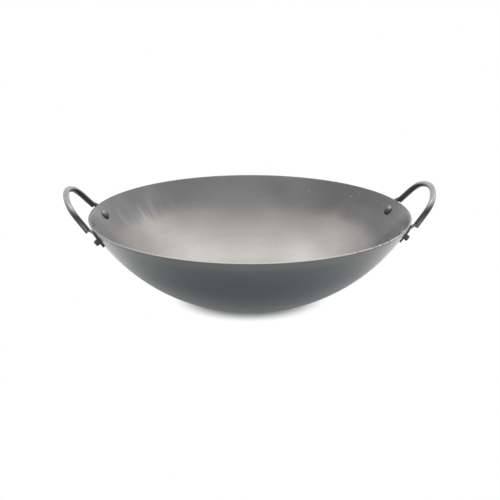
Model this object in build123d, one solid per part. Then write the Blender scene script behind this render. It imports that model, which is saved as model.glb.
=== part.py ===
# Round-bottomed steel kadai: one spun bowl, two loop handles rolled from strip, four solid rivets.
# Millimetres and degrees. The origin is the centre of the flat base, on the surface the pan stands on.
# +Z is up, the handles lie along +X and -X, and the front is towards -Y.
from build123d import *
from math import asin, atan2, cos, degrees, radians, sin, sqrt
import os

# Bowl, a dish of even thickness with a small flat base
rim_diameter = 400.0
pan_height = 110.0
base_diameter = 96.0
base_corner_radius = 20.0
sheet_thickness = 2.5
rim_edge_radius = 0.5

# Handle bar, a strip rolled round until its edges nearly meet, then bent into a loop
strip_thickness = 2.4
bar_diameter = 7.2
seam_gap = 0.8
handle_span = 119.2
handle_reach = 43.0
handle_tilt = 49.0
leg_splay = 17.8
crown_radius = 94.0
corner_radius = 28.0
bar_standoff = 5.4
bar_end_drop = 1.2

# Riveting tabs, the ends of the same strip left flat and pressed in against the wall
tab_width = 14.5
tab_tail = 9.8
shoulder_drop = 4.0
shoulder_radius = 4.0
tab_edge_radius = 0.5
neck_width = 11.5
neck_drop = 0.5
neck_lap = 0.5
neck_proud = 0.25
web_width = 7.0
web_thickness = 2.0
web_root_width = 4.0
web_root_thickness = 1.0
web_root_rise = 4.0

# Rivets, with a mushroom head inside and an upset tail outside
rivet_drop = 15.7
rivet_inset = 4.6
shank_diameter = 6.0
head_diameter = 13.6
head_height = 3.4
head_edge = 0.7
tail_diameter = 7.6
tail_height = 4.6
tail_bevel = 1.1

# Clearances, and how far a cutting shape runs past what it cuts
shank_clearance = 0.05
seat_clearance = 0.05
overrun = 3.0

# The outside of the dish is part of a ball that passes through the base circle and the rim
rim_radius = rim_diameter / 2
base_radius = base_diameter / 2
ball_height = (rim_radius**2 - base_radius**2 + pan_height**2) / (2 * pan_height)
ball_radius = sqrt(base_radius**2 + ball_height**2)
ball_centre = Vector(0, 0, ball_height)
inner_ball_radius = ball_radius - sheet_thickness
rim_polar = asin(rim_radius / ball_radius)

# A tab lies on the ball with a hair of clearance under it
tab_under_radius = ball_radius + seat_clearance
tab_over_radius = tab_under_radius + strip_thickness
tab_edge_level = tab_over_radius - seat_clearance
shoulder_rise = rivet_drop - shoulder_drop
neck_rise = rivet_drop - neck_drop

# Sizes of the rolled bar
bar_radius = bar_diameter / 2
bore_radius = bar_radius - strip_thickness
web_radius = bar_radius - strip_thickness / 2
half_span = handle_span / 2
tilt = radians(handle_tilt)
splay = radians(leg_splay)


def rivet_frame(side, end):
    """Frame on the outside of the wall at one rivet, with z pointing outwards through it."""
    polar = rim_polar - rivet_drop / ball_radius
    ring_radius = ball_radius * sin(polar)
    turn = asin((half_span - rivet_inset) / ring_radius)
    outward = Vector(side * sin(polar) * cos(turn), end * sin(polar) * sin(turn), -cos(polar))
    return Plane(origin=ball_centre + outward * ball_radius, z_dir=outward)


def ball(radius):
    """The ball that the dish is part of, at another radius."""
    return Pos(ball_centre) * Sphere(radius)


def dish_face(inset):
    """The wall arc and the base corner arc of one face of the sheet, that far in from the outside."""
    reach = ball_radius - base_corner_radius
    corner_height = ball_height - base_corner_radius
    corner_x = sqrt(reach**2 - corner_height**2)
    join_angle = -degrees(atan2(corner_height, corner_x))
    rim_angle = degrees(rim_polar) - 90
    wall = CenterArc((0, ball_height), ball_radius - inset, join_angle, rim_angle - join_angle)
    corner = CenterArc((corner_x, base_corner_radius), base_corner_radius - inset, -90, join_angle + 90)
    return wall, corner


def make_bowl():
    """Half section of the sheet turned about Z, with a hole for each rivet."""
    outer_wall, outer_corner = dish_face(0)
    inner_wall, inner_corner = dish_face(sheet_thickness)
    section = make_face(
        [
            Line((0, 0), outer_corner @ 0),
            outer_corner,
            outer_wall,
            Line(outer_wall @ 1, inner_wall @ 1),
            inner_wall,
            inner_corner,
            Line(inner_corner @ 0, (0, sheet_thickness)),
            Line((0, sheet_thickness), (0, 0)),
        ]
    )
    rim_corners = section.vertices().sort_by(Axis.Y)[-2:]
    section = fillet(rim_corners, rim_edge_radius)
    bowl = revolve(Plane.XZ * section, Axis.Z)
    hole = Cylinder(shank_diameter / 2 + shank_clearance, 2 * (sheet_thickness + overrun))
    for side in (-1, 1):
        for end in (-1, 1):
            bowl -= rivet_frame(side, end) * hole
    return bowl


def loop_frame():
    """Plane of the right handle's loop: origin at the rim's level, x along +Y, y up the slope."""
    foot_ring = sqrt((ball_radius + bar_standoff) ** 2 - (ball_height - pan_height) ** 2)
    foot_x = sqrt(foot_ring**2 - half_span**2)
    return Plane(origin=(foot_x, 0, pan_height), x_dir=(0, 1, 0), z_dir=(sin(tilt), 0, -cos(tilt)))


def leg_point(end, drop):
    """Point on a leg's centreline, in the loop's plane, that far down the leg below the rim's level."""
    return Vector(end * (half_span + drop * sin(splay)), -drop * cos(splay))


def loop_path():
    """Centreline of the bar: leg, corner, crown, corner, leg, all tangent, in the loop's plane."""
    spare = crown_radius - corner_radius
    leg_offset = cos(splay) * half_span + sin(splay) * (crown_radius - handle_reach) - corner_radius
    crown_half = asin(leg_offset / spare) - splay
    crown_y = handle_reach - crown_radius
    corner_x = spare * sin(crown_half)
    corner_y = crown_y + spare * cos(crown_half)
    corner_turn = 90 - degrees(crown_half) - leg_splay
    right_corner = CenterArc((corner_x, corner_y), corner_radius, leg_splay, corner_turn)
    crown = CenterArc((0, crown_y), crown_radius, 90 - degrees(crown_half), 2 * degrees(crown_half))
    left_corner = CenterArc((-corner_x, corner_y), corner_radius, 90 + degrees(crown_half), corner_turn)
    right_leg = Line(leg_point(1, bar_end_drop), right_corner @ 0)
    left_leg = Line(left_corner @ 1, leg_point(-1, bar_end_drop))
    return Wire([right_leg, right_corner, crown, left_corner, left_leg])


def make_bar(frame):
    """The rolled strip swept round the loop and cut square, with its seam facing away from the bowl."""
    path = frame * loop_path()
    section_frame = Plane(origin=path @ 0, x_dir=frame.z_dir, z_dir=path % 0)
    seam_reach = bar_radius + overrun
    seam = Pos(seam_reach / 2, 0) * Rectangle(seam_reach, seam_gap)
    rolled = Circle(bar_radius) - Circle(bore_radius) - seam
    return sweep(section_frame * rolled, path)


def strip_section(point, along, inward, width, low, high):
    """Cross section of the strip at a point, from low to high towards the bowl, square to along."""
    across = inward.cross(along).normalized() * (width / 2)
    corners = [
        point - across + inward * low,
        point + across + inward * low,
        point + across + inward * high,
        point - across + inward * high,
    ]
    return make_face(Polyline(*corners, close=True))


def web_sections(frame, end):
    """The strip inside the bar's wall, and where it leaves the bar's cut end."""
    leg_down = frame.from_local_coords(leg_point(end, 1)) - frame.from_local_coords(leg_point(end, 0))
    sections = []
    for drop, width, thickness in (
        (bar_end_drop - web_root_rise, web_root_width, web_root_thickness),
        (bar_end_drop, web_width, web_thickness),
    ):
        point = frame.from_local_coords(leg_point(end, drop))
        low = web_radius - thickness / 2
        sections.append(strip_section(point, leg_down, -frame.z_dir, width, low, low + thickness))
    return sections


def tab_frame(frame, end):
    """Frame at the rivet with z outwards and x up the tab, towards where the web leaves the bar."""
    seat = rivet_frame(1, end)
    web_end = frame.from_local_coords(leg_point(end, bar_end_drop)) - frame.z_dir * web_radius
    towards_bar = web_end - seat.origin
    tab_up = towards_bar - seat.z_dir * towards_bar.dot(seat.z_dir)
    return Plane(origin=seat.origin, x_dir=tab_up, z_dir=seat.z_dir)


def neck_sections(seat):
    """The strip a hair proud of the tab at its top, and thinner where it ends inside the tab."""
    end_cover = strip_thickness / 4
    sections = []
    for rise, width, outer_cover, inner_cover in (
        (neck_rise - neck_lap, neck_width - 2 * neck_lap, -neck_proud, neck_proud),
        (shoulder_rise, web_width, end_cover, end_cover),
    ):
        turn = rise / ball_radius
        normal = seat.z_dir * cos(turn) + seat.x_dir * sin(turn)
        along = seat.z_dir * sin(turn) - seat.x_dir * cos(turn)
        low = -strip_thickness - seat_clearance + outer_cover
        high = -seat_clearance - inner_cover
        sections.append(strip_section(ball_centre + normal * ball_radius, along, -normal, width, low, high))
    return sections


def tab_outline():
    """Round-ended tab with shoulders drawn in to the neck, with x up the tab from its rivet."""
    half = tab_width / 2
    end_x = half - tab_tail
    sides = make_face(
        Polyline(
            (end_x, -half),
            (shoulder_rise, -half),
            (neck_rise, -neck_width / 2),
            (neck_rise, neck_width / 2),
            (shoulder_rise, half),
            (end_x, half),
            close=True,
        )
    )
    shoulders = sides.vertices().sort_by(Axis.X)[2:4]
    sides = fillet(shoulders, shoulder_radius)
    return sides + Pos(end_x, 0) * Circle(half)


def make_tab(frame, end):
    """One end of the strip: web, joggled neck and flat tab, moulded to the wall, with its rivet hole."""
    seat = tab_frame(frame, end)
    tab = seat * extrude(tab_outline(), strip_thickness + overrun)
    tab &= ball(tab_over_radius)
    outer_edges = tab.edges().filter_by(lambda edge: (edge @ 0.5 - ball_centre).length > tab_edge_level)
    from_the_neck = outer_edges.sort_by_distance(seat.origin + seat.x_dir * rivet_drop)
    tab = fillet(from_the_neck[1:], tab_edge_radius)
    neck = loft(web_sections(frame, end) + neck_sections(seat))
    strip = tab + neck - ball(tab_under_radius)
    hole = Cylinder(shank_diameter / 2 + shank_clearance, 2 * (strip_thickness + overrun))
    return strip - seat * hole


def make_handle(side):
    """The whole handle, made on the +X side and turned round for the other."""
    frame = loop_frame()
    handle = make_bar(frame) + make_tab(frame, -1) + make_tab(frame, 1)
    return Rot(0, 0, 90 * (1 - side)) * handle


def make_rivet(side, end):
    """Mushroom head fitted to the inside of the wall, shank through wall and tab, upset tail."""
    head_radius = head_diameter / 2
    dome_rise = head_height - head_edge
    dome_radius = (head_radius**2 + dome_rise**2) / (2 * dome_rise)
    top = -sheet_thickness - head_height
    dome_mid_x = head_radius / 2
    dome_mid_y = top + dome_radius - sqrt(dome_radius**2 - dome_mid_x**2)
    edge_y = -sheet_thickness - head_edge
    head_section = make_face(
        [
            Polyline((0, top), (0, 0), (head_radius, 0), (head_radius, edge_y)),
            ThreePointArc((head_radius, edge_y), (dome_mid_x, dome_mid_y), (0, top)),
        ]
    )
    tail_radius = tail_diameter / 2
    tail_top = strip_thickness + 2 * seat_clearance + tail_height
    tail_section = make_face(
        Polyline(
            (0, 0),
            (tail_radius, 0),
            (tail_radius, tail_top - tail_bevel),
            (tail_radius - tail_bevel, tail_top),
            (0, tail_top),
            close=True,
        )
    )
    shank_length = sheet_thickness + tail_top + head_edge - tail_bevel
    shank = Pos(0, 0, edge_y + shank_length / 2) * Cylinder(shank_diameter / 2, shank_length)
    seat = rivet_frame(side, end)
    head = seat * revolve(Plane.XZ * head_section, Axis.Z)
    tail = seat * revolve(Plane.XZ * tail_section, Axis.Z)
    head &= ball(inner_ball_radius - seat_clearance)
    tail -= ball(tab_over_radius + seat_clearance)
    return head + tail + seat * shank


def main():
    """Make every piece and write each to its own file."""
    pieces = {"bowl": make_bowl()}
    for side, side_name in ((-1, "left"), (1, "right")):
        pieces[side_name + "_handle"] = make_handle(side)
        for end, end_name in ((-1, "front"), (1, "rear")):
            pieces[side_name + "_" + end_name + "_rivet"] = make_rivet(side, end)
    os.makedirs("parts", exist_ok=True)
    for name, piece in pieces.items():
        export_step(piece, "parts/" + name + ".step")
        print(name, "volume", round(piece.volume), "solids", len(piece.solids()))


main()
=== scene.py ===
# %% [markdown]
# A spun steel kadai, dressed for its photograph
#
# A kadai is a wide, round-bottomed cooking pan. This one is a single disc of carbon steel, spun over a
# former until it is a shallow bowl, with a loop handle riveted on at each side. The CAD model already
# holds every piece at its real size, so this notebook adds what a drawing cannot: the bloom and wear of
# the steel, the marks of the spinning lathe, the scratches, a studio and a camera.

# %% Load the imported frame
from math import asin, atan2, cos, degrees, pi, radians, sin, sqrt

import bpy
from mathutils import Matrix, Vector, noise


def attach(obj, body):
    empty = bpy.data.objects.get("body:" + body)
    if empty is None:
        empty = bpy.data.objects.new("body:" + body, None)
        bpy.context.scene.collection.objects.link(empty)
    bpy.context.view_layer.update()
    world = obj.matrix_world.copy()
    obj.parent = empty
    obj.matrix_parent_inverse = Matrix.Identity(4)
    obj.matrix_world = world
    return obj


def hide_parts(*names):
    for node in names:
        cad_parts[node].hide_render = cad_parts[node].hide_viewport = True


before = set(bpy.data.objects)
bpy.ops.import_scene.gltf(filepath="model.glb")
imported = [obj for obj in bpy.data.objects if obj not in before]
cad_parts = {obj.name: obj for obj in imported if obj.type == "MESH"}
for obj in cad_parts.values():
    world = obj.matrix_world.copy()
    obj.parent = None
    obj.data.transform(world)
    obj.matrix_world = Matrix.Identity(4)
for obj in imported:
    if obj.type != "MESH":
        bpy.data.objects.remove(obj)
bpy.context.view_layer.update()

scene = bpy.context.scene
print("nodes in the frame:", ", ".join(sorted(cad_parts)))

# %% [markdown]
# The sizes that the looks depend on
#
# The wall of the bowl is part of a ball. Its centre and radius follow from three sizes that anyone could
# take from the real pan: the width across the rim, the height, and the width of the flat that it stands
# on. Nearly every mark on the steel is placed by two angles on that ball. The polar angle is 0 at the
# bottom of the bowl and about 60 degrees at the rim. The azimuth is 0 at the front and grows to the right.

# %% Sizes in metres
rim_radius = 0.200
pan_height = 0.110
base_radius = 0.048
base_corner_radius = 0.020
sheet_thickness = 0.0025
rim_edge_radius = 0.0005
ball_height = (rim_radius**2 - base_radius**2 + pan_height**2) / (2 * pan_height)
ball_radius = sqrt(base_radius**2 + ball_height**2)
rim_polar = degrees(asin(rim_radius / ball_radius))
ball_centre = Vector((0, 0, ball_height))
print("ball radius", round(ball_radius, 4), "centre height", round(ball_height, 4))
print("rim at", round(rim_polar, 1), "degrees")

# %% [markdown]
# The camera
#
# The photograph looks down on the pan by about 17 degrees from straight in front, turned a little to the
# left, through a long lens from 1.7 metres. A short lens close by would show the same outline, but would
# open the rim's ellipse too far and make the near wall too tall. The lens, the distance and the tilt were
# found by fitting the rim, the bottom and both handles at once.

# %% Camera
camera_reach = 1.6401
camera_height = 0.5744
camera_turn = radians(3.36)
camera_tilt = radians(17.277)
lens_mm = 98.79
sensor_mm = 36.0

lens = bpy.data.cameras.new("camera")
lens.lens = lens_mm
lens.sensor_width = sensor_mm
camera = bpy.data.objects.new("camera", lens)
camera.location = (-camera_reach * sin(camera_turn), -camera_reach * cos(camera_turn), camera_height)
camera.rotation_euler = (pi / 2 - camera_tilt, 0, -camera_turn)
scene.collection.objects.link(camera)
scene.camera = camera
print("camera at", [round(c, 3) for c in camera.location])

# %% [markdown]
# Writing shader maths as Python
#
# A node tree for worn metal is mostly sums: this mask times that noise, one minus the other. Built by
# hand, each sum is three lines of nodes and links. Here one small class wraps a socket and answers to
# plus, minus, times and divide, so that an expression such as (1 - band) * glow adds the Math nodes by
# itself. Colours and vectors go through Mix and Vector Math nodes, because a Math node would turn a
# colour grey.

# %% A socket that does sums
class Value:
    """A number that varies over the surface. Sums on it add Math nodes to its material."""

    def __init__(self, paint, socket):
        self.paint = paint
        self.socket = socket

    def math(self, operation, first, second=0.0):
        return self.paint.node("ShaderNodeMath", {"operation": operation}, {0: first, 1: second})

    def __add__(self, other):
        return self.math("ADD", self, other)

    def __sub__(self, other):
        return self.math("SUBTRACT", self, other)

    def __rsub__(self, other):
        return self.math("SUBTRACT", other, self)

    def __mul__(self, other):
        return self.math("MULTIPLY", self, other)

    def __truediv__(self, other):
        return self.math("DIVIDE", self, other)

    def __neg__(self):
        return self.math("MULTIPLY", self, -1.0)

    __radd__ = __add__
    __rmul__ = __mul__

    def step(self, low, high):
        """0 at low and 1 at high, with a smooth rise between. High may be under low."""
        if high < low:
            return 1 - self.step(high, low)
        settings = {"interpolation_type": "SMOOTHSTEP"}
        return self.paint.node("ShaderNodeMapRange", settings, {0: self, 1: low, 2: high})

    def hill(self, middle, half_width):
        """1 at the middle, falling smoothly to 0 on both sides."""
        return self.math("ABSOLUTE", self - middle).step(half_width, 0.0)

# %% [markdown]
# One method for every other node
#
# Any node that is not a sum comes from Paint.node: its type, then its settings, then what goes into its
# sockets. Settings go first because some of them, such as a Mix node's data type, change which sockets
# the node shows.

# %% A node tree to paint with
noise_gain = 2.6


class Paint:
    """The node tree of a material or of the world, whose nodes are all made by one method."""

    def __init__(self, owner):
        owner.use_nodes = True
        self.tree = owner.node_tree
        self.tree.nodes.clear()

    def node(self, kind, settings=None, inputs=None, output=0):
        made = self.tree.nodes.new(kind)
        for name, value in (settings or {}).items():
            if name == "stops":
                self.set_stops(made.color_ramp, value)
            else:
                setattr(made, name, value)
        for name, value in (inputs or {}).items():
            if isinstance(value, Value):
                self.tree.links.new(value.socket, made.inputs[name])
            else:
                made.inputs[name].default_value = value
        return Value(self, made.outputs[output])

    def set_stops(self, ramp, stops):
        while len(ramp.elements) < len(stops):
            ramp.elements.new(1.0)
        for element, (place, colour) in zip(ramp.elements, stops):
            element.position = place
            element.color = colour

    def coordinate(self, name):
        return self.node("ShaderNodeTexCoord", output=name)

    def vector(self, operation, first, second=(0.0, 0.0, 0.0), output=0):
        return self.node("ShaderNodeVectorMath", {"operation": operation}, {0: first, 1: second}, output)

    def split(self, vector):
        return [self.node("ShaderNodeSeparateXYZ", inputs={0: vector}, output=axis) for axis in range(3)]

    def join(self, x, y, z):
        return self.node("ShaderNodeCombineXYZ", inputs={0: x, 1: y, 2: z})

    def ray(self, kind):
        """1 for light paths of one kind, such as those that start at the camera, and 0 for others."""
        return self.node("ShaderNodeLightPath", output=kind)

    def noise(self, vector, scale, detail=2.0, roughness=0.5):
        """Soft noise around 0, from about -1 to 1."""
        sockets = {"Vector": vector, "Scale": scale, "Detail": detail, "Roughness": roughness}
        return (self.node("ShaderNodeTexNoise", inputs=sockets) - 0.5) * noise_gain

    def mix(self, factor, first, second):
        """Colour from first to second as the factor goes from 0 to 1."""
        return self.node("ShaderNodeMix", {"data_type": "RGBA"}, {0: factor, 6: first, 7: second}, 2)

    def scaled(self, colour, amount):
        """The colour, lighter or darker by a varying amount."""
        plain = colour if isinstance(colour, Value) else colour[:3]
        return self.node("ShaderNodeVectorMath", {"operation": "SCALE"}, {0: plain, 3: amount})

    def bump(self, height, distance):
        return self.node("ShaderNodeBump", inputs={"Height": height, "Strength": 1.0, "Distance": distance})

    def finish(self, shader, kind="ShaderNodeOutputMaterial"):
        last = self.tree.nodes.new(kind)
        self.tree.links.new(shader.socket, last.inputs[0])

    def metal(self, colour, roughness, height, relief, others=None):
        """End the tree in a metal. Relief is the real height, in metres, of a height of 1."""
        sockets = {"Base Color": colour, "Metallic": 1.0, "Roughness": roughness}
        sockets["Normal"] = self.bump(height, relief)
        sockets.update(others or {})
        self.finish(self.node("ShaderNodeBsdfPrincipled", inputs=sockets))


print("shader helpers ready")

# %% [markdown]
# Where a point lies on the bowl
#
# Lathe marks run round the bowl and rub marks run up and down its wall, so the steel is painted in the
# bowl's own two angles and not in x, y and z. A third number says which face of the sheet a point is on:
# the dot product of the normal with the direction to the ball's centre is 1 inside, -1 outside and about
# 0 on the cut edge of the rim. The azimuth jumps by a full turn at the back of the bowl, so noise never
# reads it. It reads the direction as a point on a circle, which has no seam.

# %% Bowl coordinates
edge_facing, wall_facing = 0.35, 0.75


class BowlPlace:
    """The angles, the face and the noise coordinates of a point on the bowl."""

    def __init__(self, paint):
        self.point = paint.coordinate("Object")
        to_centre = paint.vector("SUBTRACT", tuple(ball_centre), self.point)
        inward = paint.vector("NORMALIZE", to_centre)
        down = paint.split(inward)[2]
        self.polar = down.math("ARCCOSINE", down) * degrees(1)
        x, y = paint.split(self.point)[:2]
        self.azimuth = x.math("ARCTAN2", x, -y) * degrees(1)
        self.ring = paint.vector("NORMALIZE", paint.join(x, y, 0.0))
        facing = paint.vector("DOT_PRODUCT", inward, paint.coordinate("Normal"), output=1)
        self.inside = facing.step(edge_facing, wall_facing)
        self.edge = facing.math("ABSOLUTE", facing).step(wall_facing, edge_facing)

    def around(self, paint, turns, climbs):
        """Noise coordinates that repeat turns times faster round the bowl and climbs times up its wall."""
        ring_x, ring_y = paint.split(self.ring)[:2]
        return paint.join(ring_x * turns, ring_y * turns, self.polar * climbs)

    def patches(self, *rows):
        """A sum of hills round the bowl. Each row is an azimuth, a half width and a strength."""
        return sum(self.azimuth.hill(middle, width) * strength for middle, width, strength in rows)


print("bowl coordinates ready")

# %% [markdown]
# The bowl as a lathed sheet
#
# The bowl could keep the CAD model's own mesh, with a smooth finish on top. But that mesh is only as fine
# as its outline needs, its long triangles show in a soft reflection, and its wall is truer than any real
# one. So the same section is turned again here with small even steps. The section is the one that the
# spinner would draw: a flat, a corner, the wall, and an edge that is cut square and rubbed round.

# %% Section of the sheet
wall_step = 0.0025
corner_steps = 8
edge_steps = 3
flat_steps = 10
corner_reach = ball_radius - base_corner_radius
corner_rise = ball_height - base_corner_radius
corner_ring = sqrt(corner_reach**2 - corner_rise**2)
join_polar = atan2(corner_ring, corner_rise)


def spaced(first, last, steps):
    """Evenly spaced values from first to last, with both ends."""
    return [first + (last - first) * step / steps for step in range(steps + 1)]


def wall_points(radius, inset):
    """The wall of one face, from the base corner to where the rim's rounding starts."""
    stop = radians(rim_polar) - asin(rim_edge_radius / (radius + inset))
    steps = round(radius * (stop - join_polar) / wall_step)
    turns = spaced(join_polar, stop, steps)
    return [(radius * sin(turn), ball_height - radius * cos(turn)) for turn in turns]


def corner_points(radius):
    """The rounding between the flat and the wall."""
    return [
        (corner_ring + radius * sin(turn), base_corner_radius - radius * cos(turn))
        for turn in spaced(0, join_polar, corner_steps)
    ]


def rim_points(radius, first_turn):
    """The rounding of one edge of the rim, a quarter turn about a centre inside the sheet."""
    polar = radians(rim_polar) - asin(rim_edge_radius / radius)
    points = []
    for turn in spaced(first_turn, first_turn + pi / 2, edge_steps):
        out, up = rim_edge_radius * cos(turn), rim_edge_radius * sin(turn)
        ring = (radius + out) * sin(polar) + up * cos(polar)
        points.append((ring, ball_height - (radius + out) * cos(polar) + up * sin(polar)))
    return points


def sheet_section():
    """Ring and height of each point, up the outside and down the inside."""
    inner_radius = ball_radius - sheet_thickness
    inner_corner = corner_points(base_corner_radius - sheet_thickness)
    outside = corner_points(base_corner_radius)[:-1] + wall_points(ball_radius, -rim_edge_radius)
    rim = rim_points(ball_radius - rim_edge_radius, 0) + rim_points(inner_radius + rim_edge_radius, pi / 2)
    inside = wall_points(inner_radius, rim_edge_radius)[::-1] + inner_corner[-2::-1]
    flat = [corner_ring * step / flat_steps for step in range(1, flat_steps)]
    under = [(ring, 0.0) for ring in flat]
    over = [(ring, sheet_thickness) for ring in reversed(flat)]
    return under + outside + rim[1:-1] + inside + over


section = sheet_section()
print("section points", len(section))

# %% [markdown]
# Turning the section, with the wear of use
#
# Screwing the section round with a modifier would give a perfect surface. A pan that has been carried and
# stirred is a little out of true, so each ring of points is set in code: slow dents of about a tenth of a
# millimetre, the same on both faces because the sheet moves as one, and a few nicks filed into the rim.
# The dents fade out at the rim and the base, where the pan's size is measured.

# %% Lathed bowl
turns_round = 480
dent_depth = 0.00016
dent_spacing = 0.055
nick_depth = 0.0004
nick_azimuths = (34.6, 42.4, 44.0, 46.9, 48.6, 51.0)
nick_half_width = 0.35
nick_cut_shares = (-1.0, -0.5, 0.0, 0.5, 1.0)
nicked_share = 0.985
clear_of_base = (0.3, 0.55)
clear_of_rim = (0.98, 0.855)


def ramp(value, low, high):
    """0 at low and 1 at high, with a straight rise between. High may be under low."""
    return min(1.0, max(0.0, (value - low) / (high - low)))


def bowl_azimuths():
    """Even steps round the bowl, in degrees, with finer ones at the nicks in the rim."""
    steps = [360 * step / turns_round - 180 for step in range(turns_round)]
    cuts = [middle + share * nick_half_width for middle in nick_azimuths for share in nick_cut_shares]
    clear = [step for step in steps if all(abs(step - cut) > nick_half_width / 2 for cut in cuts)]
    return sorted(clear + cuts)


def nick_at(azimuth):
    """How deep the rim is nicked there, from 0 to 1."""
    depths = [1 - abs(azimuth - middle) / nick_half_width for middle in nick_azimuths]
    return max(0.0, *depths)


def worn_point(ring, height, azimuth):
    """A point of the section turned to an azimuth, moved by the dents and nicks there."""
    turn = radians(azimuth)
    point = Vector((ring * sin(turn), -ring * cos(turn), height))
    outward = (point - ball_centre).normalized()
    polar_share = degrees(atan2(ring, ball_height - height)) / rim_polar
    depth = dent_depth * ramp(polar_share, *clear_of_base) * ramp(polar_share, *clear_of_rim)
    point += outward * (depth * noise.noise(outward * ball_radius / dent_spacing))
    if polar_share > nicked_share:
        point.z -= nick_depth * nick_at(azimuth)
    return point


def lathed_mesh(name, section, azimuths):
    """A closed mesh: rings of points round Z, one for each point of the section, and two poles."""
    points = [worn_point(ring, height, azimuth) for ring, height in section for azimuth in azimuths]
    around = len(azimuths)
    faces = []
    for row in range(len(section) - 1):
        for column in range(around):
            beside = (column + 1) % around
            low, high = row * around, (row + 1) * around
            faces.append((low + column, low + beside, high + beside, high + column))
    under_pole, over_pole = len(points), len(points) + 1
    points += [Vector((0, 0, 0)), Vector((0, 0, sheet_thickness))]
    last = (len(section) - 1) * around
    for column in range(around):
        beside = (column + 1) % around
        faces.append((beside, column, under_pole))
        faces.append((last + column, last + beside, over_pole))
    mesh = bpy.data.meshes.new(name)
    mesh.from_pydata(points, [], faces)
    mesh.shade_smooth()
    return mesh


def add_piece(mesh, material, slot, *nodes):
    """Put a mesh in the scene as a piece of the pan that stands for some of the frame's nodes."""
    piece = bpy.data.objects.new(mesh.name, mesh)
    scene.collection.objects.link(piece)
    mesh.materials.append(material)
    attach(piece, "root")
    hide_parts(*nodes)
    return piece


bowl_mesh = lathed_mesh("spun_bowl", section, bowl_azimuths())
print("bowl points", len(bowl_mesh.vertices), "faces", len(bowl_mesh.polygons))

# %% [markdown]
# The steel of the bowl: colours
#
# Carbon steel leaves the mill blue-grey. Inside the pan the cook's spoon and the first polishing have
# rubbed that bloom off the bottom, which is paler and warmer, up to a soft line at about 49 degrees. It is
# painted palest low down, partly a painted reflection of the light overhead. Above the line and all over
# the outside the bloom is still there, bluest in front and low down and greyer at the sides. Low down the
# outside is also painted darker, partly painted shade, and a thin paler band under the rim is a painted
# reflection. The cut edge of the rim is bare. One image would be simpler than all this, but would be sharp
# at one scale only. Ramps and noise stay sharp from any distance.

# %% Colours of the bloom
full_polar = 60.0
# The rubbed colour is palest low down, partly a painted reflection of the light overhead.
warm_and_reflection_stops = (
    (0.00, (0.29, 0.278, 0.262, 1)),
    (0.45, (0.345, 0.330, 0.311, 1)),
    (0.60, (0.244, 0.231, 0.215, 1)),
    (0.72, (0.203, 0.192, 0.180, 1)),
    (0.82, (0.206, 0.196, 0.185, 1)),
)
band_colour = (0.195, 0.197, 0.197, 1)
outside_blue = (0.053, 0.081, 0.094, 1)
# Low down the outside is painted bluer and darker. The darkness is partly painted shade, for the shaded
# floor that it mirrors.
low_blue_and_shade = (0.028, 0.056, 0.073, 1)
outside_grey = (0.066, 0.067, 0.066, 1)
# The paler band under the rim is a painted reflection of the floor beyond the pan's shadow.
painted_under_rim_reflection = (0.105, 0.108, 0.108, 1)
edge_colour = (0.38, 0.376, 0.370, 1)
print("the rubbed colour has", len(warm_and_reflection_stops), "stops up to", full_polar, "degrees")

# %% [markdown]
# Where the steel is rubbed, and where sheen is painted
#
# The wear is uneven. The left and right walls and one spot on the left are painted paler, a painted sheen
# where the walls are seen edge-on. On the left pale strokes run up through the bloom above the line, and on
# the right a broad sweep is darker. Each such place is a row of three numbers: the azimuth of its middle
# and its half width, both in degrees, and its strength, which for the line itself is how many degrees it
# rises there. The pairs are angles too, from where a mark starts to where it is full. A painted mask would
# do the same, but a row can be read and moved.

# %% Rows for the rubbed places and the painted sheen
bloom_line = 49.0
line_blur = (3.0, -4.0)
line_wander, line_cloud = 0.8, 0.7
line_rises = (
    (-112.0, 22.0, 1.75),
    (-150.0, 20.0, 1.575),
    (134.0, 7.0, 1.75),
    (150.0, 10.0, -1.4),
    (98.0, 22.0, -4.0),
)
line_fingers = (-130.0, 18.0, 5.25)

# The left and right walls and one spot on the left are painted paler, a painted sheen where the walls are
# seen edge-on.
painted_sheen_walls = (
    ((-125.0, 48.0, 0.75), (55.0, 42.0)),
    ((122.0, 40.0, 0.90), (52.0, 42.0)),
)
painted_sheen_spot = (-137.0, 18.0, 0.24)
spot_polar, spot_reach = 42.0, 11.0

streak_rows = ((-117.0, 2.6, 1.1), (-136.5, 2.8, 0.8), (-147.0, 3.5, 0.45))
streak_spread = (-127.0, 18.0, 0.7)
streak_reach = (58.5, 49.0)

dull_rows = ((-132.0, 44.0, 0.38), (139.0, 24.0, 0.34), (98.0, 36.0, 0.39))
dull_top_rows = ((98.0, 36.0, 0.07), (121.0, 20.0, 0.17), (-128.0, 14.0, 0.20))
dull_top_reach = (51.0, 56.0)

sweep_foot, sweep_half_width = 74.0, 18.0
sweep_lean = 1.7
sweep_back = (176.0, 162.0)
sweep_rise = (24.0, 42.0)
sweep_depth = 0.21
print("bloom line at", bloom_line, "degrees,", len(streak_rows), "streaks")

# %% Rubbed places and painted sheen
def worn_through(paint, place, cloud):
    """How far the bloom is rubbed off, from 0 above the bloom line to 1 below it."""
    wander = paint.noise(place.around(paint, turns=2.2, climbs=0.02), scale=1.0, detail=3.0)
    fingers = paint.noise(place.around(paint, turns=19.0, climbs=0.03), scale=1.0, detail=2.0)
    raised = place.patches(*line_rises) + place.patches(line_fingers) * fingers.step(-0.3, 0.9)
    line = bloom_line + wander * line_wander + cloud * line_cloud + raised
    return (place.polar - line).step(*line_blur)


def painted_side_sheen(place):
    """How much paler a face is painted to the left and right, a painted sheen where the walls are seen
    edge-on.
    """
    shine = place.patches(painted_sheen_spot) * place.polar.hill(spot_polar, spot_reach)
    for wall, reach in painted_sheen_walls:
        shine = shine + place.patches(wall) * place.polar.step(*reach)
    return shine


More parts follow.
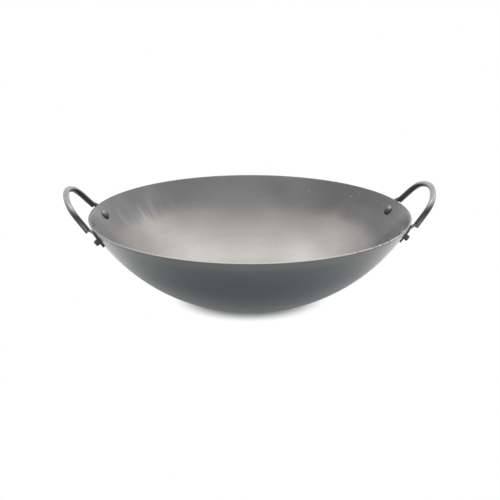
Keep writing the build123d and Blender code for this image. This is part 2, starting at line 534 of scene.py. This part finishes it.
def pale_streaks(paint, place):
    """Pale strokes up the wall on the left."""
    fine = paint.noise(place.around(paint, turns=26.0, climbs=0.05), scale=1.0, detail=3.0)
    strokes = place.patches(*streak_rows) + place.patches(streak_spread) * fine.step(0.1, 0.9)
    return strokes * place.polar.step(*streak_reach)


def dullness(place):
    """How much darker the bloom above the line is at the sides, and more so near the rim."""
    return place.patches(*dull_rows) + place.patches(*dull_top_rows) * place.polar.step(*dull_top_reach)


def dull_sweep(place):
    """A broad darker stroke on the right that leans back as it climbs the wall."""
    stroke = (place.azimuth - place.polar * sweep_lean).hill(sweep_foot, sweep_half_width)
    return stroke * place.azimuth.step(*sweep_back) * place.polar.step(*sweep_rise) * sweep_depth


print("rubbed places ready")

# %% [markdown]
# The steel of the bowl: marks
#
# Three kinds of mark lie on top. Spinning leaves fine rings, which are noise that changes fast up the wall
# and hardly at all round it. Use leaves scratches: a few long ones are listed as the distance to a
# line seen from above, and many short ones are noise stretched along a direction. Storage leaves chips of
# pale metal high on the right wall, and specks of rust as small dark dots.

# %% Scratches, scuffs and specks
scratch_lines = (
    ((0.009, 0.124), (0.034, 0.135), 1.0),
    ((0.017, 0.102), (0.064, 0.121), 0.8),
    ((0.150, 0.098), (0.171, 0.078), 1.0),
    ((-0.060, 0.118), (-0.020, 0.096), 0.5),
    ((-0.095, 0.060), (-0.040, 0.085), 0.5),
    ((0.040, -0.090), (0.085, -0.060), 0.7),
    ((-0.030, -0.120), (0.015, -0.100), 0.7),
)
scratch_half_width = 0.0007
hairline_turn = radians(24)
hairline_scale, hairline_share = 420.0, 0.35
along_hairline, up_hairline = 0.05, 0.4
chip_rows = ((130.0, 9.0, 1.0), (151.0, 5.0, 0.8), (116.0, 8.0, 0.5))
chip_reach = (54.5, 56.5)
speck_scale, speck_size = 55.0, (0.075, 0.03)


def long_scratches(paint, point):
    """Straight scratches, seen from above, that thin out towards their ends."""
    x, y = paint.split(point)[:2]
    total = 0.0
    for (x0, y0), (x1, y1), strength in scratch_lines:
        length = sqrt((x1 - x0) ** 2 + (y1 - y0) ** 2)
        along_x, along_y = (x1 - x0) / length, (y1 - y0) / length
        along = (x - (x0 + x1) / 2) * along_x + (y - (y0 + y1) / 2) * along_y
        aside = (x - x0) * along_y - (y - y0) * along_x
        total = aside.hill(0.0, scratch_half_width) * along.hill(0.0, length / 2) * strength + total
    return total


def hairlines(paint, point):
    """Short scratches along one direction: noise squeezed thin across it, in patches."""
    sockets = {"Vector": point, "Angle": hairline_turn}
    x, y, z = paint.split(paint.node("ShaderNodeVectorRotate", {"rotation_type": "Z_AXIS"}, sockets))
    squeezed = paint.join(x * along_hairline, y, z * up_hairline)
    streaky = paint.noise(squeezed, scale=hairline_scale, detail=1.0).step(0.72, 0.95)
    return streaky * paint.noise(point, scale=22.0, detail=1.0).step(0.1, 0.8)


def chips(paint, place):
    """Pale scuffs high on the right wall."""
    flecks = paint.noise(place.point, scale=190.0, detail=3.0, roughness=0.7).step(0.22, 0.50)
    return flecks * place.polar.step(*chip_reach) * place.patches(*chip_rows)


def specks(paint, point):
    """Small dark dots, few and far between."""
    sockets = {"Vector": point, "Scale": speck_scale}
    dots = paint.node("ShaderNodeTexVoronoi", {"feature": "F1"}, sockets).step(*speck_size)
    return dots * paint.noise(point, scale=9.0, detail=1.0).step(0.2, 0.6)


print("long scratches:", len(scratch_lines))

# %% [markdown]
# The steel of the bowl: fine textures
#
# Five textures run all over the sheet: clouds as wide as a hand, a mottle as wide as a finger, the grain of
# the metal, the rings of the lathe and the scratches. They shift the tone, the roughness and the relief,
# each by an amount of its own, so the amounts are three small tables and one function adds them up. Only
# the scratches have no share in the tone, because they brighten the inside and not the outside.

# %% Textures and how much each one shows
tone_shares = {"cloud": 0.07, "mottle": 0.06, "grain": 0.10, "rings": 0.06}
rough_shares = {"cloud": 0.03, "grain": 0.02, "scratches": -0.05}
relief_shares = {"rings": 0.3, "grain": 0.05, "mottle": 0.4, "scratches": -0.15, "cloud": 1.5}
relief_height = 0.00004


def sheet_textures(paint, place):
    """Every fine texture of the sheet, by name."""
    rings = place.around(paint, turns=0.7, climbs=2.4)
    return {
        "cloud": paint.noise(place.point, scale=7.0, detail=4.0, roughness=0.55),
        "mottle": paint.noise(place.point, scale=45.0, detail=3.0, roughness=0.6),
        "grain": paint.noise(place.point, scale=650.0, detail=1.0),
        "rings": paint.noise(rings, scale=1.0, detail=3.0, roughness=0.7),
        "scratches": long_scratches(paint, place.point) + hairlines(paint, place.point) * hairline_share,
    }


def blend(textures, shares):
    """The sum of some textures, each times its share."""
    return sum(textures[name] * share for name, share in shares.items())


print("textures that change the relief:", ", ".join(relief_shares))

# %% [markdown]
# The steel of the bowl: its three faces
#
# The inside, the outside and the cut edge each get a colour of their own. Three materials on three sets of
# faces would meet in hard lines, and the rounded edge belongs to two of them. So all three colours are in
# one material. The edge is darker in its nicks and beside the handles.

# %% Colours of the three faces
blued_front = (-6.0, 74.0, 1.0)
low_reach = (50.0, 36.0)
under_rim_reach = (55.0, 58.5)
under_rim_least = 0.3
# Patches of painted shade on the outside, darker to the front left and to the front right.
painted_shade_rows = ((-32.0, 30.0, 0.25), (-45.0, 12.0, 0.15), (36.0, 10.0, 0.12))
streak_shine = 0.42
nick_mark_half_width = 1.6 * nick_half_width
nick_darkness, rim_mottle = 0.7, 0.05
beside_handles = (100.0, 26.0)
edge_darkness = 0.85


def inside_colour(paint, place, worn):
    """Warm rubbed metal below the bloom line, with a painted reflection low down and painted sheen at the
    sides, and the streaked band of bloom above it.
    """
    warm = paint.node("ShaderNodeValToRGB", {"stops": warm_and_reflection_stops}, {0: place.polar / full_polar})
    band = paint.scaled(band_colour, 1 - dullness(place) + pale_streaks(paint, place) * streak_shine)
    colour = paint.mix(worn, band, paint.scaled(warm, 1 + painted_side_sheen(place)))
    return paint.scaled(colour, 1 - dull_sweep(place))


def outside_colour(paint, place):
    """Blue in front, grey at the sides, bluer and darker low down (partly painted shade), with patches of
    painted shade and a painted reflection under the rim.
    """
    front = place.patches(blued_front)
    colour = paint.mix(front, outside_grey, outside_blue)
    colour = paint.mix(place.polar.step(*low_reach), colour, low_blue_and_shade)
    under_rim = place.polar.step(*under_rim_reach) * (front * (1 - under_rim_least) + under_rim_least)
    colour = paint.mix(under_rim, colour, painted_under_rim_reflection)
    return paint.scaled(colour, 1 - place.patches(*painted_shade_rows))


def rim_colour(paint, place, mottle, dry):
    """Bare metal, darker in the nicks and on the dry part beside the handles."""
    nicks = sum(place.azimuth.hill(middle, nick_mark_half_width) for middle in nick_azimuths)
    colour = paint.scaled(edge_colour, 1 - nicks.step(0.0, 0.8) * nick_darkness + mottle * rim_mottle)
    return paint.scaled(colour, 1 - dry * edge_darkness)


print("face colours ready")

# %% [markdown]
# The steel of the bowl: one material
#
# The face number of the bowl coordinates picks between the three colours, and the marks and the fine
# textures go over all of them. The metal stretches its reflections a little, as spun metal does. A coat of
# oil gives the bowl a second, sharper reflection, except on the dry part of the edge beside the handles.

# %% Steel of the bowl
bowl_roughness, rubbed_smoother = 0.42, 0.02
chip_shine, scratch_shine, speck_darkness = 1.8, 0.15, 0.3
dry_share = 0.9
spun_stretch, oil_roughness = 0.35, 0.2


def bowl_steel():
    """Blue-grey bloom, rubbed warm and pale inside, with rings, scratches, chips and specks, and with
    painted sheen, reflection and shade.
    """
    material = bpy.data.materials.new("bowl_steel_worn")
    paint = Paint(material)
    place = BowlPlace(paint)
    textures = sheet_textures(paint, place)
    worn = worn_through(paint, place, textures["cloud"])
    dry = place.azimuth.math("ABSOLUTE", place.azimuth).hill(*beside_handles)
    faces = paint.mix(place.inside, outside_colour(paint, place), inside_colour(paint, place, worn))
    colour = paint.mix(place.edge, faces, rim_colour(paint, place, textures["mottle"], dry))
    marks = chips(paint, place) * chip_shine - specks(paint, place.point) * speck_darkness
    marks = marks + textures["scratches"] * place.inside * scratch_shine
    colour = paint.scaled(colour, 1 + blend(textures, tone_shares) + marks)
    rough = bowl_roughness - worn * place.inside * rubbed_smoother + blend(textures, rough_shares)
    others = {"Anisotropic": spun_stretch, "Coat Roughness": oil_roughness}
    others["Coat Weight"] = 1 - dry * place.edge * dry_share
    paint.metal(colour, rough, blend(textures, relief_shares), relief_height, others)
    return material


bowl = add_piece(bowl_mesh, bowl_steel(), "bowl_steel", "bowl")
print("bowl dressed with", len(bowl.active_material.node_tree.nodes), "nodes")

# %% [markdown]
# The handles
#
# Each handle is one strip, rolled into a bar for the grip and left flat for the two riveting tabs. It is
# dark from the forge and oiled. Its shape in the CAD model is right, so the node stays and only its finish
# changes: fine scale from rolling, a pale crown that is partly rubbed by hands and partly a painted
# highlight on its upper faces, and a thin painted highlight down the outer side of each leg. The necks and
# the tabs stay dark. The heights that bound the pale parts are metres above the table, so both handles
# look alike.

# %% Steel of the handles
handle_dark = (0.066, 0.071, 0.075, 1)
handle_rubbed_and_highlight = (0.50, 0.485, 0.465, 1)
crown_rise, crown_slope = (0.126, 0.140), (-0.2, 0.8)
leg_stripe, leg_facing = (0.114, 0.011), (0.88, 0.985)
leg_share = 0.6
rub_strength, rub_patchiness = 0.85, 0.25
drawn_stretch = 0.12
handle_roughness, handle_smoother = 0.38, 0.05
handle_tones = {"scale": 0.06, "patches": 0.06, "drawn": 0.05}
handle_rough_shares = {"scale": 0.05, "patches": 0.04}
handle_relief_shares = {"scale": 0.25, "drawn": 0.15}
handle_relief_height = 0.00003


def handle_steel():
    """Dark rolled strip, paler on the crown, partly worn and partly a painted highlight, with a painted
    highlight down the outer side of each leg.
    """
    material = bpy.data.materials.new("handle_steel_oiled")
    paint = Paint(material)
    point = paint.coordinate("Object")
    x, y, z = paint.split(point)
    sideways, upward = paint.split(paint.coordinate("Normal"))[1:]
    textures = {
        "scale": paint.noise(point, scale=260.0, detail=4.0, roughness=0.65),
        "patches": paint.noise(point, scale=60.0, detail=2.0),
        "drawn": paint.noise(paint.join(x, y * drawn_stretch, z), scale=900.0, detail=2.0),
    }
    # The crown is paler where it faces upward, partly wear and partly a painted highlight. The stripe down
    # each leg, on the faces that point away from the middle of the loop, is a painted highlight.
    crown = z.step(*crown_rise) * upward.step(*crown_slope)
    painted_leg_highlight = (sideways * y.math("SIGN", y)).step(*leg_facing) * z.hill(*leg_stripe)
    rubbed = (crown + painted_leg_highlight * leg_share) * (textures["patches"] * rub_patchiness + rub_strength)
    colour = paint.mix(rubbed, handle_dark, handle_rubbed_and_highlight)
    colour = paint.scaled(colour, 1 + blend(textures, handle_tones))
    rough = handle_roughness + blend(textures, handle_rough_shares) - rubbed * handle_smoother
    paint.metal(colour, rough, blend(textures, handle_relief_shares), handle_relief_height)
    return material


def dress(names, material):
    """Give a finish to nodes of the frame that keep their own mesh."""
    for name in names:
        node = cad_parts[name]
        for place in node.material_slots:
            place.material = material


handle_names = ("left_handle", "right_handle")
dress(handle_names, handle_steel())
print("handles dressed:", ", ".join(handle_names))

# %% [markdown]
# The rivets
#
# A rivet's dome is forged and then hammered against a set, so it is dark and dense with small flats, and
# its crest is painted paler, a painted highlight where it faces upward. The tail outside was upset by a few
# blows and stays dark. Both come from one material, because only the crest of a dome faces upward.

# %% Steel of the rivets
rivet_dark = (0.085, 0.090, 0.094, 1)
# The pale crest is a painted highlight on the part of each dome that faces upward.
rivet_crest_highlight = (0.34, 0.332, 0.32, 1)
crest_slope = (0.45, 0.95)
rivet_roughness = 0.36
rivet_tones = {"blows": 0.08, "scale": 0.08}
rivet_rough_shares = {"scale": 0.06}
rivet_relief_shares = {"blows": 2.0, "scale": 0.3}
rivet_relief_height = 0.00005


def rivet_steel():
    """Dark forged steel with a painted highlight on the crest."""
    material = bpy.data.materials.new("rivet_steel_forged")
    paint = Paint(material)
    point = paint.coordinate("Object")
    upward = paint.split(paint.coordinate("Normal"))[2]
    textures = {
        "blows": paint.noise(point, scale=330.0, detail=1.0),
        "scale": paint.noise(point, scale=1100.0, detail=3.0, roughness=0.6),
    }
    colour = paint.mix(upward.step(*crest_slope), rivet_dark, rivet_crest_highlight)
    colour = paint.scaled(colour, 1 + blend(textures, rivet_tones))
    rough = rivet_roughness + blend(textures, rivet_rough_shares)
    paint.metal(colour, rough, blend(textures, rivet_relief_shares), rivet_relief_height)
    return material


rivet_names = [side + end + "_rivet" for side in ("left_", "right_") for end in ("front", "rear")]
dress(rivet_names, rivet_steel())
print("rivets dressed:", ", ".join(rivet_names))

# %% [markdown]
# The floor
#
# The photograph's background is pure white with only a tight shadow under the pan. A floor lit until it
# clips to white would wash the steel out as well. So the floor is plain pale paint that takes the pan's
# real shadow, and away from the pan it hands over to an even white of strength 1, for the camera and for
# reflections. Steel looks dark on its underside because it mirrors the shaded floor, so reflections keep
# the true shadow for a wider circle than the camera does. Both circles lie a little behind the middle of
# the pan, and a small share of the even white lifts the shadow inside them.

# %% Floor
floor_half = 15.0
floor_colour = (0.88, 0.88, 0.88, 1)
shadow_back = 0.012
seen_shadow, seen_lift = (0.065, 0.101), 0.15
mirrored_shadow, mirrored_lift = (0.155, 0.265), 0.18


def floor_paint():
    """Pale paint near the pan, even white further out."""
    material = bpy.data.materials.new("floor_white")
    paint = Paint(material)
    x, y = paint.split(paint.coordinate("Object"))[:2]
    from_pan = paint.vector("LENGTH", paint.join(x, y - shadow_back, 0.0), output=1)
    mirrored = paint.ray("Is Glossy Ray") + paint.ray("Is Transmission Ray")
    seen = from_pan.step(*seen_shadow) * (1 - seen_lift) + seen_lift
    reflected = from_pan.step(*mirrored_shadow) * (1 - mirrored_lift) + mirrored_lift
    white = paint.ray("Is Camera Ray") * seen + mirrored * reflected
    matt = paint.node("ShaderNodeBsdfDiffuse", inputs={"Color": floor_colour})
    even = paint.node("ShaderNodeEmission", inputs={"Color": (1, 1, 1, 1), "Strength": 1.0})
    paint.finish(paint.node("ShaderNodeMixShader", inputs={0: white, 1: matt, 2: even}))
    return material


corners = [(x * floor_half, y * floor_half, 0.0) for x, y in ((-1, -1), (1, -1), (1, 1), (-1, 1))]
floor_mesh = bpy.data.meshes.new("floor")
floor_mesh.from_pydata(corners, [], [(0, 1, 2, 3)])
floor_mesh.materials.append(floor_paint())
floor = bpy.data.objects.new("floor", floor_mesh)
scene.collection.objects.link(floor)
print("floor", 2 * floor_half, "metres wide")

# %% [markdown]
# The light
#
# Steel shows its surroundings and not its own colour, so the studio is the finish. The world is white at
# the horizon, where the floor meets it, and falls to a soft grey overhead and in front. The camera itself
# sees plain white. Three softboxes hang in it. The broad one over and a little behind the pan lights the
# floor and the bottom of the bowl, the one at the right brightens the left wall across from it, and the
# small one in front draws the line of light along the handles' crowns.

# %% World and softboxes
sky_stops = (
    (0.00, (1.0, 1.0, 1.0, 1)),
    (0.50, (1.0, 1.0, 1.0, 1)),
    (0.62, (0.92, 0.92, 0.92, 1)),
    (0.80, (0.85, 0.85, 0.85, 1)),
    (1.00, (0.85, 0.85, 0.85, 1)),
)
front_reach, front_grey = (-0.75, -0.15), 0.85
softboxes = (
    ("softbox_over", (0.0, 0.25, 1.30), (0.0, 0.0, 0.0), 1.40, 0.90, 1.12),
    ("softbox_right", (1.25, 0.45, 0.85), (0.0, 0.0, 0.05), 0.90, 0.80, 1.0),
    ("softbox_front", (-0.10, -1.70, 1.05), (0.0, 0.0, 0.10), 0.60, 0.35, 1.6),
)


def light_sky():
    """A world that is white at the horizon, greyer overhead and in front, and white to the camera."""
    world = bpy.data.worlds.new("studio")
    paint = Paint(world)
    back, upward = paint.split(paint.coordinate("Generated"))[1:]
    sky = paint.node("ShaderNodeValToRGB", {"stops": sky_stops}, {0: upward * 0.5 + 0.5})
    sky = paint.scaled(sky, back.step(*front_reach) * (1 - front_grey) + front_grey)
    sky = paint.mix(paint.ray("Is Camera Ray"), sky, (1, 1, 1, 1))
    paint.finish(paint.node("ShaderNodeBackground", inputs={0: sky, 1: 1.0}), "ShaderNodeOutputWorld")
    scene.world = world


def hang_softbox(name, place, target, width, depth, brightness):
    """A rectangular lamp of a given brightness, where 1 is as bright as white paper in full light."""
    lamp = bpy.data.lights.new(name, "AREA")
    lamp.shape = "RECTANGLE"
    lamp.size = width
    lamp.size_y = depth
    lamp.energy = brightness * pi * width * depth
    box = bpy.data.objects.new(name, lamp)
    box.location = place
    box.rotation_euler = (Vector(target) - Vector(place)).to_track_quat("-Z", "Y").to_euler()
    scene.collection.objects.link(box)
    return box


light_sky()
for softbox in softboxes:
    hang_softbox(*softbox)
print("softboxes:", len(softboxes))

# %% [markdown]
# Settings
#
# The Standard view shows a colour as it is written, so that 1 is white and the steel keeps its greys.

scene.view_settings.view_transform = "Standard"
